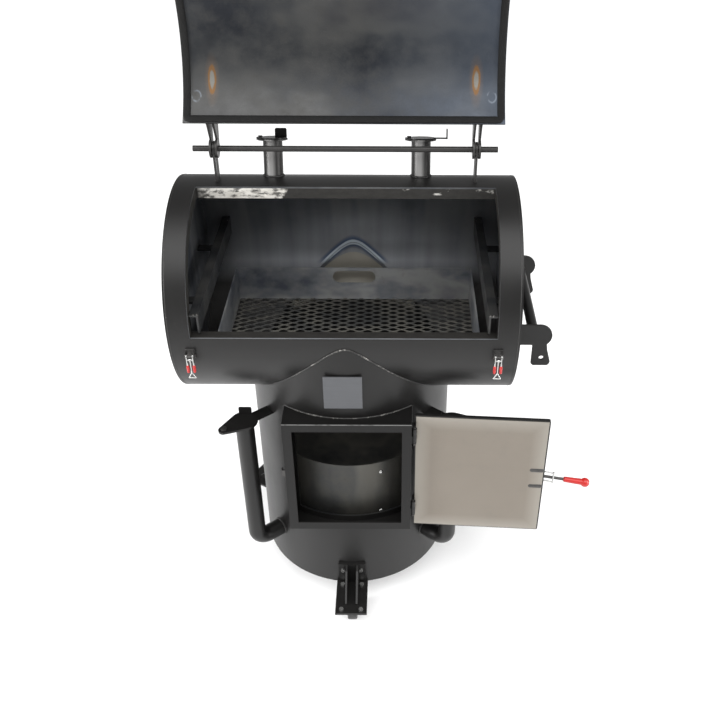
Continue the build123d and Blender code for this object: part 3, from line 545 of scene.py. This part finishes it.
def hardware_steel():
    f = Finish("hardware_steel")
    cloud = f.noise(90.0, 4.0, 0.65)
    colour = f.blend(cloud, (0.035, 0.034, 0.033), (0.12, 0.117, 0.114))
    return f.set(colour=colour, rough=f.spread(cloud, 0.3, 0.7, 0.34, 0.52), metal=0.9,
                 normal=f.bump(f.noise(500.0), 0.10, 0.0003))


def weld_metal(name="weld_metal", bare=0.0, reach=None):
    """Weld bead under coat, with bare bright metal on its high spots.

    bare sets how much of it shows; reach, two distances from the middle, sets where it fades."""
    f = Finish(name)
    fine = f.noise(150.0, 5.0, 0.7)
    patch = f.noise(26.0, 4.0, 0.6)
    more = 0.16 * bare
    share = f.math("MULTIPLY", f.spread(fine, 0.60 - more, 0.74 - more), f.spread(patch, 0.52 - more, 0.64))
    if reach:
        share = f.math("MULTIPLY", share, f.spread(f.math("ABSOLUTE", f.x), reach[0], reach[1], 1.0, 0.0))
    colour = f.blend(share, (0.010, 0.0095, 0.009), (0.40, 0.385, 0.36))
    return f.set(colour=colour, rough=f.mix(share, 0.46, 0.36), metal=f.mix(share, 0.0, 0.8),
                 normal=f.bump(fine, 0.35, 0.0008), specular=0.45)


def red_vinyl():
    """Dipped vinyl: saturated red, soft gloss, faint orange peel and rubbed paler patches."""
    f = Finish("red_vinyl")
    cloud = f.noise(45.0, 3.0, 0.6)
    rub = f.spread(f.noise(120.0, 5.0, 0.7), 0.60, 0.75)
    colour = f.blend(cloud, (0.30, 0.006, 0.005), (0.46, 0.012, 0.008))
    colour = f.blend(f.math("MULTIPLY", rub, 0.25), colour, (0.60, 0.07, 0.045))
    return f.set(colour=colour, rough=f.spread(cloud, 0.3, 0.7, 0.30, 0.42), metal=0.0, coat=0.08, coat_rough=0.25,
                 normal=f.bump(f.noise(220.0, 3.0), 0.15, 0.0004))


def badge_grey():
    f = Finish("badge_grey")
    grain = f.noise(1.0, 3.0, 0.6, f.stretched(12.0, 12.0, 900.0))
    cloud = f.noise(20.0, 4.0, 0.6)
    colour = f.blend(grain, (0.070, 0.072, 0.078), (0.098, 0.101, 0.108))
    return f.set(colour=colour, rough=f.spread(cloud, 0.2, 0.8, 0.38, 0.50), metal=0.4,
                 normal=f.bump(grain, 0.08, 0.0002))


def seal_rope():
    f = Finish("seal_rope")
    fuzz = f.cells(650.0)
    cloud = f.noise(60.0, 4.0, 0.7)
    colour = f.blend(cloud, (0.0025, 0.0025, 0.0025), (0.009, 0.0088, 0.0086))
    return f.set(colour=colour, rough=f.spread(cloud, 0.3, 0.7, 0.62, 0.82), metal=0.0, specular=0.2,
                 normal=f.bump(fuzz, 0.6, 0.0012))


def hard_rubber():
    f = Finish("hard_rubber")
    cloud = f.noise(50.0, 4.0, 0.6)
    colour = f.blend(cloud, (0.018, 0.018, 0.018), (0.036, 0.035, 0.034))
    return f.set(colour=colour, rough=f.spread(cloud, 0.3, 0.7, 0.48, 0.66), metal=0.0,
                 normal=f.bump(f.noise(700.0), 0.2, 0.0004))


# ---- the CAD nodes' finishes ------------------------------------------------------------------
def give(node, material):
    mesh = frame["nodes"][node].data
    mesh.materials.clear()
    mesh.materials.append(material)


COAT = black_coat()
BURNISHED = burnished_coat()
DARK_STEEL = raw_steel("rail_steel", 0.24, (3.0, 9.0, 9.0), 0.5, 0.15)
TRAY_STEEL = raw_steel("tray_steel", 1.75, (5.0, 5.0, 9.0), 0.55, 0.1)
MESH_STEEL = raw_steel("mesh_steel", 0.50, (14.0, 14.0, 14.0), 0.6, 0.35)
BASKET_STEEL = raw_steel("basket_steel", 0.36, (6.0, 6.0, 1.5), 0.7, 0.35)
BRIGHT = bright_plate()
HARDWARE = hardware_steel()
RED = red_vinyl()
RUBBER = hard_rubber()
ROPE = seal_rope()
WELD = weld_metal()
BARE_WELD = weld_metal("bare_weld_metal", 1.0)
SADDLE_WELD = weld_metal("saddle_weld_metal", 0.75, (0.08, 0.19))
FRAME_WELD = weld_metal("frame_weld_metal", 0.65)

for name in frame["nodes"]:
    give(name, COAT)
give("barrel", coated_pipe("barrel_pipe", inside_barrel, saddle_tint_and_painted_light, 1.05, (7.0, 0.8, 0.8)))
give("drum", coated_pipe("drum_pipe", inside_drum, drum_painted_light, 0.10, (6.0, 6.0, 1.2), 0.5, 0.1))
give("end_caps", coated_pipe("cap_plate", inside_caps, None, 0.85, (3.0, 9.0, 0.9), 0.6))
give("lid_shell", coated_pipe("lid_plate", inside_lid, lid_marks, 0.27, (3.0, 2.0, 5.0), 0.7, 0.12))
give("mouth_lip", lip_steel())
for name in ("slide_rails", "rail_brackets", "fire_grate"):
    give(name, DARK_STEEL)
for name in ("hinge_rod", "rod_straps", "lid_ears"):
    give(name, BURNISHED)
for side in ("left", "right"):
    stack_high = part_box(f"exhaust_stack_{side}")[1]
    # each stack's coat carries a painted highlight down the tube's front
    give(f"exhaust_stack_{side}", burnished_coat(f"stack_{side}_coat", stack_high.x - 0.046))
give("door_frame", framed_coat())
give("tray_frame", TRAY_STEEL)
give("charcoal_basket", BASKET_STEEL)
give("door_liner", stainless_sheet())
for name in frame["nodes"]:
    if name.startswith(("latch_", "clamp_hook")):
        give(name, BRIGHT)
    if name.startswith("caster_wheel"):
        give(name, RUBBER)
for name in ("clamp_arm", "clamp_base", "clamp_catch", "latch_bases", "hinge_pins", "damper_bolts"):
    give(name, HARDWARE)
give("bracket_bolts", BRIGHT)
give("badge_plate", badge_grey())


# ---- tray floor -------------------------------------------------------------------------------
MESH_LONG, MESH_SHORT = 0.052, 0.0236      # diamond, bond to bond, along X and along Y
STRAND_WIDE, STRAND_THICK = 0.0052, 0.0022
STRAND_LEAN = math.radians(24.0)


def make_tray_floor():
    """Expanded metal. Row j runs along X as y = short/2 (j + zig(x/long + j/2)), with zig a triangle wave whose
    tips are cut flat where it is bonded to the next row; each strand is a flat bar leaning a little."""
    low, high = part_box("tray_mesh")
    rows = int((high.y - low.y) / (MESH_SHORT / 2.0)) - 1
    start_y = (low.y + high.y - rows * MESH_SHORT / 2.0) / 2.0
    x = np.arange(low.x, high.x, MESH_LONG / 8.0)
    j = np.arange(rows)[:, None]
    wave = np.abs(((x[None] / MESH_LONG + 0.5 * (j % 2)) % 1.0) * 2.0 - 1.0)
    zig = np.clip(wave * 1.30 - 0.15, 0.0, 1.0)
    y = start_y + MESH_SHORT / 2.0 * (j + zig)
    u, v = STRAND_WIDE / 2.0, STRAND_THICK / 2.0
    corners = np.array([(-u, -v), (u, -v), (u, v), (-u, v)])
    c, s = math.cos(STRAND_LEAN), math.sin(STRAND_LEAN)
    corners = corners @ np.array([[c, s], [-s, c]])
    mid_z = (low.z + high.z) / 2.0 + 0.0004
    grid = np.zeros((rows, len(x), 4, 3))
    grid[..., 0] = x[None, :, None]
    grid[..., 1] = y[..., None] + corners[None, None, :, 0]
    grid[..., 2] = mid_z + corners[None, None, :, 1]
    first_point = (np.arange(rows) * len(x) * 4)[:, None, None]
    faces = rows_to_faces(len(x), 4, False)[None] + first_point
    ends = np.array([[0, 1, 2, 3], [3, 2, 1, 0]]) + np.array([[0], [(len(x) - 1) * 4]])
    ends = ends[None] + first_point
    all_faces = np.concatenate([faces.reshape(-1, 4), ends.reshape(-1, 4)[:, ::-1]])
    make_piece("tray_floor_strands", grid.reshape(-1, 3), all_faces, MESH_STEEL, "tray", "raw_steel", False,
               ("tray_mesh",))


# ---- lid seal ---------------------------------------------------------------------------------
def make_seal():
    """Round-backed strip round the lid's inside edge: a rounded rectangle in (x, arc length) wrapped on the lid."""
    inset, wide, tall, corner = 0.0015, 0.0195, 0.0054, 0.006
    r = LID_INNER_R
    lid_arc = r * math.radians(93.0)
    half_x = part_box("lid_shell")[1].x - inset - wide / 2.0
    half_arc = (lid_arc - 2.0 * inset) / 2.0 - wide / 2.0
    arc = np.linspace(0.0, math.pi / 2.0, 8)
    xs, arcs = [], []
    for sign_x, sign_arc, turn in ((1, 1, 0.0), (-1, 1, math.pi / 2), (-1, -1, math.pi), (1, -1, 1.5 * math.pi)):
        xs.append(sign_x * (half_x - corner) + corner * np.cos(arc + turn))
        arcs.append(sign_arc * (half_arc - corner) + corner * np.sin(arc + turn))
    flat = np.stack([np.concatenate(xs), np.concatenate(arcs), np.zeros(4 * len(arc))], -1)
    flat, _ = resampled(np.concatenate([flat, flat[:1]]), 0.009)
    flat = flat[:-1]
    phi = (lid_arc / 2.0 + flat[:, 1]) / r
    closed_path = np.stack([flat[:, 0], -r * np.sin(phi), AXIS_Z + r * np.cos(phi)], -1)
    inward = np.stack([np.zeros(len(phi)), np.sin(phi), -np.cos(phi)], -1)
    path = lid_opened(closed_path)
    lift = lid_opened(closed_path + inward) - path
    ahead = unit(np.roll(path, -1, 0) - np.roll(path, 1, 0))
    side = unit(np.cross(lift, ahead))
    a = np.linspace(0.0, math.pi, 9)
    profile = np.stack([wide / 2.0 * np.sign(np.cos(a)) * np.abs(np.cos(a)) ** 0.7, tall * np.sin(a) ** 0.6], -1)
    points, faces = sweep(path, side, lift, profile, True)
    make_piece("lid_seal_strip", points, faces, ROPE, "lid", "black_felt", True, ("lid_gasket",))


# ---- grips ------------------------------------------------------------------------------------
def make_latch_sleeves():
    """Nearly straight sleeves with a soft rounded foot and a rolled top edge.

    radius(t) = 0.92 r sqrt(1 - ((t - 0.55) / 0.47)^8) + 0.08 r sin(pi t), with t from the top to the foot."""
    t = np.linspace(0.0, 1.0, 26)
    for side in ("left", "right"):
        low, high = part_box(f"latch_grips_{side}")
        centre_y, length, radius = (low.y + high.y) / 2.0, high.z - low.z, (high.y - low.y) / 2.0
        straight = np.clip(1.0 - ((t - 0.55) / 0.47) ** 8, 0.05, 1.0) ** 0.5
        radii = 0.92 * radius * straight + 0.08 * radius * np.sin(math.pi * t)
        parts = [turned_shape((x, centre_y, high.z), (0, 0, -1), radii, length * t)
                 for x in (low.x + radius, high.x - radius)]
        points, faces = joined(parts)
        make_piece(f"latch_sleeves_{side}", points, faces, RED, f"latch_{side}", "red_vinyl", True,
                   (f"latch_grips_{side}",))


def make_clamp_sleeve():
    """The fire door clamp's grip: a slim neck that widens evenly, then a ball at its end."""
    droop = math.radians(8.0)
    along = Matrix.Rotation(DOOR_TURN, 3, "Z") @ Vector((-math.cos(droop), 0.0, -math.sin(droop)))
    from_pivot, length, ball_at, ball_r = 0.095, 0.0795, 0.0655, 0.0142
    start = Vector(JOINT["clamp_pivot"]["pos_m"]) + from_pivot * along
    s = np.linspace(0.0, 1.0, 48)
    neck = 0.0082 + 0.0022 * s
    ball = np.sqrt(np.clip(ball_r ** 2 - (length * s - ball_at) ** 2, 0.0, None))
    radii = np.maximum(np.where(s < 0.9, neck, 0.0), ball)
    radii *= np.clip(s / 0.03, 0.35, 1.0) ** 0.5
    radii[-1] = 0.0008
    points, faces = turned_shape(start, along, radii, length * s, 28)
    make_piece("clamp_sleeve", points, faces, RED, "clamp", "red_vinyl", True, ("clamp_grip",))


# ---- welds ------------------------------------------------------------------------------------
def saddle_line(r_drum, r_barrel, first, last, count=420):
    """Where a drum of radius r_drum meets a barrel of radius r_barrel: z = axis - sqrt(r_barrel^2 - y^2)."""
    a = np.radians(np.linspace(first, last, count))
    x, y = r_drum * np.cos(a), r_drum * np.sin(a)
    return np.stack([x, y, AXIS_Z - np.sqrt(r_barrel ** 2 - y ** 2)], -1)


def ring_line(centre, axis, radius, count=90):
    """Circle about an axis, its two ends meeting."""
    centre, axis = np.asarray(centre, float), unit(np.asarray(axis, float))
    helper = np.array([1.0, 0.0, 0.0]) if abs(axis[0]) < 0.9 else np.array([0.0, 1.0, 0.0])
    u = unit(np.cross(axis, helper))
    v = np.cross(axis, u)
    a = np.radians(np.linspace(0.0, 360.0, count))[:, None]
    return centre + radius * (np.cos(a) * u + np.sin(a) * v)


def outward(path, centre=(0.0, 0.0), axes=(0, 1)):
    """Unit vectors away from a straight axis, for each point of a path."""
    out = np.zeros_like(path)
    for k, axis in enumerate(axes):
        out[:, axis] = path[:, axis] - centre[k]
    return unit(out)


def make_saddle_welds():
    """Drum to barrel, all round. The front of it is wire-brushed and shows bright metal."""
    for name, first, last, material in (
        ("saddle_weld_front", 225.0, 315.0, SADDLE_WELD), ("saddle_weld_rest", -45.0, 225.0, WELD),
    ):
        path = saddle_line(DRUM_R + CLEAR, BARREL_R + CLEAR, first, last)
        out = outward(path) + outward(path, (0.0, AXIS_Z), (1, 2))
        make_piece(name, *weld(path, out, 0.0022, 0.006, 3), material, "root", "raw_steel")


def make_drum_welds():
    """Door frame, intake elbows and end caps."""
    # door frame to drum: over the top, down both sides and along the foot
    w, top, foot = FRAME_HIGH.x, FRAME_HIGH.z, FRAME_LOW.z
    off = 0.001
    x = np.linspace(-w, w, 90)
    over = np.stack([x, -np.sqrt((DRUM_R + off) ** 2 - x ** 2), np.full(len(x), top + off)], -1)
    make_piece("frame_weld_top", *weld(over, outward(over) + [0, 0, 1.0], 0.0024, 0.006, 5), FRAME_WELD, "root",
               "raw_steel")
    parts = []
    y_side = -math.sqrt((DRUM_R + off) ** 2 - (w + off) ** 2)
    for s in (-1.0, 1.0):
        side = np.array([(s * (w + off), y_side, foot), (s * (w + off), y_side, top)])
        parts.append(weld(side, (s, -0.3, 0.0), 0.0028, 0.006, 7))
    under = over[::-1] * [1, 1, 0] + [0, 0, foot - off]
    parts.append(weld(under, outward(under) + [0, 0, -1.0], 0.0028, 0.006, 8))
    # intake elbows, where their stubs meet the drum
    for s in (-1.0, 1.0):
        axis = np.array([s * math.sin(INTAKE_TURN), -math.cos(INTAKE_TURN), 0.0])
        ring = ring_line((0, 0, INTAKE_Z), axis, INTAKE_WELD_R)
        reach = np.sqrt(DRUM_R ** 2 - ((ring @ np.array([-axis[1], axis[0], 0.0])) ** 2))
        path = ring + (reach + 0.0006)[:, None] * axis
        parts.append(weld(path, unit(path - np.array([0, 0, INTAKE_Z])), 0.0034, 0.0065, 9))
    # end cap seams
    for s in (-1.0, 1.0):
        seam = ring_line((s * (CAP_X - WALL), 0, AXIS_Z), (1, 0, 0), BARREL_R - 0.0006, 200)
        parts.append(weld(seam, outward(seam, (0.0, AXIS_Z), (1, 2)), 0.0014, 0.006, 11))
    make_piece("drum_and_frame_welds", *joined(parts), WELD, "root", "black_coat")


def make_top_welds():
    """Stacks, rod straps and the side handle's plates."""
    parts = []
    up = np.array([0.0, math.sin(STACK_LEAN), math.cos(STACK_LEAN)])
    level = np.array([0.0, math.cos(STACK_LEAN), -math.sin(STACK_LEAN)])
    for side in ("left", "right"):
        middle = np.array([JOINT[f"stack_damper_pivot_{side}"]["pos_m"][0] + STACK_OFF_PIVOT, 0, AXIS_Z])
        ring = ring_line(middle, up, STACK_WELD_R)
        back = ring @ level + AXIS_Z * math.sin(STACK_LEAN)
        path = ring + (np.sqrt(BARREL_R ** 2 - back ** 2) + 0.0006)[:, None] * up
        out = unit(path - middle + 2.0 * (ring - middle) / STACK_WELD_R)
        parts.append(weld(path, out, 0.0034, 0.006, 13))
    for s in (-1.0, 1.0):
        for dx in (-0.0035, 0.0035):
            y = np.linspace(0.018, 0.048, 12)
            z = AXIS_Z + np.sqrt(BARREL_R ** 2 - y ** 2) + 0.0005
            path = np.stack([np.full(len(y), s * EAR_X + dx), y, z], -1)
            parts.append(weld(path, (np.sign(dx), 0.0, 1.0), 0.0030, 0.006, 15))
    plate_low, plate_high = AXIS_Z - 0.089, AXIS_Z - 0.025
    for y in (-0.195, 0.195):
        for dy in (-0.0035, 0.0035):
            line = np.array([(CAP_X + CLEAR, y + dy, plate_low), (CAP_X + CLEAR, y + dy, plate_high)])
            parts.append(weld(line, (1.0, np.sign(dy), 0.0), 0.0030, 0.006, 17))
    make_piece("top_and_handle_welds", *joined(parts), WELD, "root", "black_coat")


def make_rail_tacks():
    """Bright spot welds where the rails are tacked in."""
    rail_top = AXIS_Z + 0.0605
    parts = []
    for s in (-1.0, 1.0):
        for y in (-0.282, 0.262, 0.285):
            parts.append(dome((s * 0.3875, y, rail_top), (-s * 0.4, -0.3, 1.0), 0.0036, 0.0024))
        parts.append(dome((s * 0.398, -0.283, rail_top), (0.0, -0.5, 1.0), 0.0034, 0.0022))
    make_piece("rail_tacks", *joined(parts), BARE_WELD, "root", "raw_steel")


def make_ear_welds():
    """Along both sides of each lid ear's foot, round the lid's outside."""
    phi = np.radians(np.linspace(2.0, 21.0, 30))
    parts = []
    for s in (-1.0, 1.0):
        for dx in (-0.0105, 0.0105):
            path = np.stack([np.full(len(phi), s * EAR_X + dx), -LID_OUTER_R * np.sin(phi),
                             AXIS_Z + LID_OUTER_R * np.cos(phi)], -1)
            out = np.stack([np.full(len(phi), np.sign(dx)), -np.sin(phi), np.cos(phi)], -1)
            opened = lid_opened(path)
            parts.append(weld(opened, lid_opened(path + out) - opened, 0.0028, 0.006, 19))
    make_piece("lid_ear_welds", *joined(parts), WELD, "lid", "black_coat")


# ---- small fixings ----------------------------------------------------------------------------
def make_door_beads():
    """Two long domes on the liner: a stadium outline whose height falls as a quarter ellipse to its rim."""
    low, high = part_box("clamp_beads")
    half, radius, sunk, tall, count = 0.0145, 0.0068, 0.0009, 0.0026, 40
    in_from_edge = 0.0065
    across = np.array([math.cos(DOOR_TURN), math.sin(DOOR_TURN), 0.0])
    out = np.array([math.sin(DOOR_TURN), -math.cos(DOOR_TURN), 0.0])
    t = np.linspace(0.0, 1.0, 9)[:, None]
    a = np.linspace(0.0, 2.0 * math.pi, count, endpoint=False)
    shrink = np.sqrt(1.0 - (0.97 * t) ** 2)
    u = (np.sign(np.cos(a)) * half + radius * np.cos(a))[None] * (0.6 + 0.4 * shrink)
    v = (radius * np.sin(a))[None] * shrink
    h = tall * t - sunk
    shape = u[..., None] * across - h[..., None] * out + v[..., None] * np.array([0.0, 0.0, 1.0])
    parts = []
    for z in (low.z + in_from_edge, high.z - in_from_edge):
        rings = shape + np.array([(low.x + high.x) / 2.0, (low.y + high.y) / 2.0, z])
        back, cap = (end.mean(1, keepdims=True).repeat(count, 1) for end in (rings[:1], rings[-1:]))
        rings = np.concatenate([back, rings, cap])
        parts.append((rings.reshape(-1, 3), rows_to_faces(len(rings), count, False)))
    make_piece("door_clamp_beads", *joined(parts), HARDWARE, "fire_door", "steel_hardware", True, ("clamp_beads",))


def make_rivets():
    """Two domed rivets on the basket's lap."""
    low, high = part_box("charcoal_basket")
    lap = math.radians(290.0)
    out = np.array([math.cos(lap), math.sin(lap), 0.0])
    foot = out * (high.x - 0.0002)
    parts = [dome(foot + [0, 0, z], out, 0.0066, 0.0032) for z in (low.z + 0.040, high.z - 0.040)]
    make_piece("basket_rivets", *joined(parts), BRIGHT, "basket", "steel_hardware")


make_tray_floor()
make_seal()
make_latch_sleeves()
make_clamp_sleeve()
make_saddle_welds()
make_drum_welds()
make_top_welds()
make_rail_tacks()
make_ear_welds()
make_door_beads()
make_rivets()


# ---- stage, lights and camera -----------------------------------------------------------------
def make_stage():
    """Wide pale floor under the casters."""
    z = cad_low.z
    half = 16.0
    mesh = bpy.data.meshes.new("floor")
    corners = [(-half, -half, z), (half, -half, z), (half, half, z), (-half, half, z)]
    mesh.from_pydata(corners, [], [(0, 1, 2, 3)])
    floor = bpy.data.objects.new("floor", mesh)
    bpy.context.scene.collection.objects.link(floor)
    f = Finish("pale_floor")
    cloud = f.noise(1.5, 2.0)
    colour = f.blend(cloud, (0.92, 0.92, 0.92), (0.94, 0.94, 0.94))
    mesh.materials.append(f.set(colour=colour, rough=0.9, specular=0.1))


def aimed(lamp, place, target):
    lamp.location = place
    lamp.rotation_euler = (Vector(target) - Vector(place)).to_track_quat("-Z", "Y").to_euler()
    bpy.context.scene.collection.objects.link(lamp)


def area_light(name, place, target, size, power):
    data = bpy.data.lights.new(name, "AREA")
    data.shape = "RECTANGLE"
    data.size, data.size_y = size
    data.energy = power
    aimed(bpy.data.objects.new(name, data), place, target)


def make_lights():
    world = bpy.data.worlds.new("studio")
    world.use_nodes = True
    back = world.node_tree.nodes["Background"]
    back.inputs["Color"].default_value = (1.0, 1.0, 1.0, 1.0)
    back.inputs["Strength"].default_value = 0.36
    bpy.context.scene.world = world
    sky = bpy.data.lights.new("ceiling", "SUN")
    sky.energy, sky.angle = 2.9, math.radians(55.0)
    aimed(bpy.data.objects.new("ceiling", sky), (0.0, -1.6, 4.0), (0, 0, 0.9))
    area_light("left_box", (-3.0, -1.2, 1.6), (0, 0, 0.8), (0.7, 2.6), 130)
    area_light("right_box", (3.0, -1.0, 1.6), (0, 0, 0.8), (0.7, 2.6), 95)


def make_camera():
    """Stands in front of the smoker and looks down into it."""
    pitch, yaw, roll = math.radians(35.546), 0.0025, 0.0051
    forward = Vector((math.sin(yaw) * math.cos(pitch), math.cos(yaw) * math.cos(pitch), -math.sin(pitch)))
    right = Vector((math.cos(yaw), -math.sin(yaw), 0.0))
    up = right.cross(forward)
    right, up = math.cos(roll) * right + math.sin(roll) * up, -math.sin(roll) * right + math.cos(roll) * up
    data = bpy.data.cameras.new("camera")
    data.sensor_width = 36.0
    data.lens = 45.39
    data.shift_x, data.shift_y = -0.0519, -0.0067
    camera = bpy.data.objects.new("camera", data)
    turn = Matrix((right, up, -forward)).transposed().to_4x4()
    camera.matrix_world = Matrix.Translation((0.1377, -2.2926, AXIS_Z + 1.3698)) @ turn
    bpy.context.scene.collection.objects.link(camera)
    bpy.context.scene.camera = camera


make_stage()
make_lights()
make_camera()
bpy.context.scene.view_settings.view_transform = "Standard"
